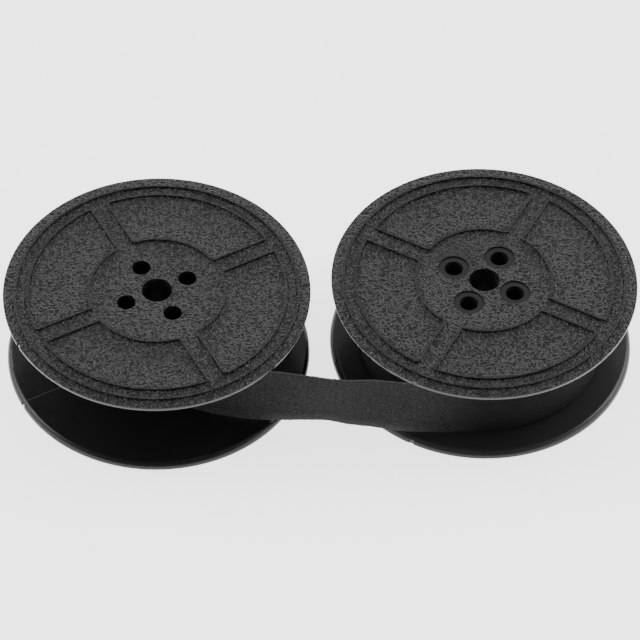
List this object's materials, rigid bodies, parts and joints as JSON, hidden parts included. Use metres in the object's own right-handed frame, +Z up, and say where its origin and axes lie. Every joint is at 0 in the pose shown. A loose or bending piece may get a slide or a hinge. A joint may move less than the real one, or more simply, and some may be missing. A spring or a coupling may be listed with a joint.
{
  "type": "twin spool inked ribbon",
  "caption": "Twin-spool inked ribbon: a full and a nearly empty flanged plastic spool joined by one narrow woven ribbon.",
  "frame": {"origin": "on the surface the spools stand on, midway between the two spool axes", "axes": "+X from the nearly empty spool's axis to the full spool's axis, +Y away from the side the free ribbon runs on, +Z up along both spool axes"},
  "size_m": [0.1124, 0.0544, 0.0175],
  "materials": {
    "moulded_flange": "moulded black plastic with a fine leather grain on the outer faces, smooth beads and smooth inner faces",
    "inked_ribbon": "matte black inked woven ribbon with a narrow selvedge",
    "clip_plastic": "plain moulded black plastic",
    "eyelet_metal": "stamped brass, dulled by ink"
  },
  "bodies": {
    "free_ribbon": {"ribbon_span": "inked_ribbon"},
    "left_spool": {"left_drive_flange": "moulded_flange", "left_cap_flange": "moulded_flange", "left_ribbon_clip": "clip_plastic", "left_reversing_eyelet": "eyelet_metal", "left_ribbon_turns": "inked_ribbon"},
    "right_spool": {"right_drive_flange": "moulded_flange", "right_cap_flange": "moulded_flange", "right_ribbon_clip": "clip_plastic", "right_reversing_eyelet": "eyelet_metal", "right_ribbon_pack": "inked_ribbon"}
  },
  "joints": [
    {"name": "right_spool_spin", "type": "hinge", "parent": "free_ribbon", "child": "right_spool", "pos_m": [0.02905, 0, 0], "axis": [0, 0, 1], "continuous": true},
    {"name": "left_spool_spin", "type": "hinge", "parent": "free_ribbon", "child": "left_spool", "pos_m": [-0.02905, 0, 0], "axis": [0, 0, 1], "continuous": true}
  ],
  "couplings": [
    {"joint": "left_spool_spin", "follows": "right_spool_spin", "ratio": 1.8889}
  ]
}
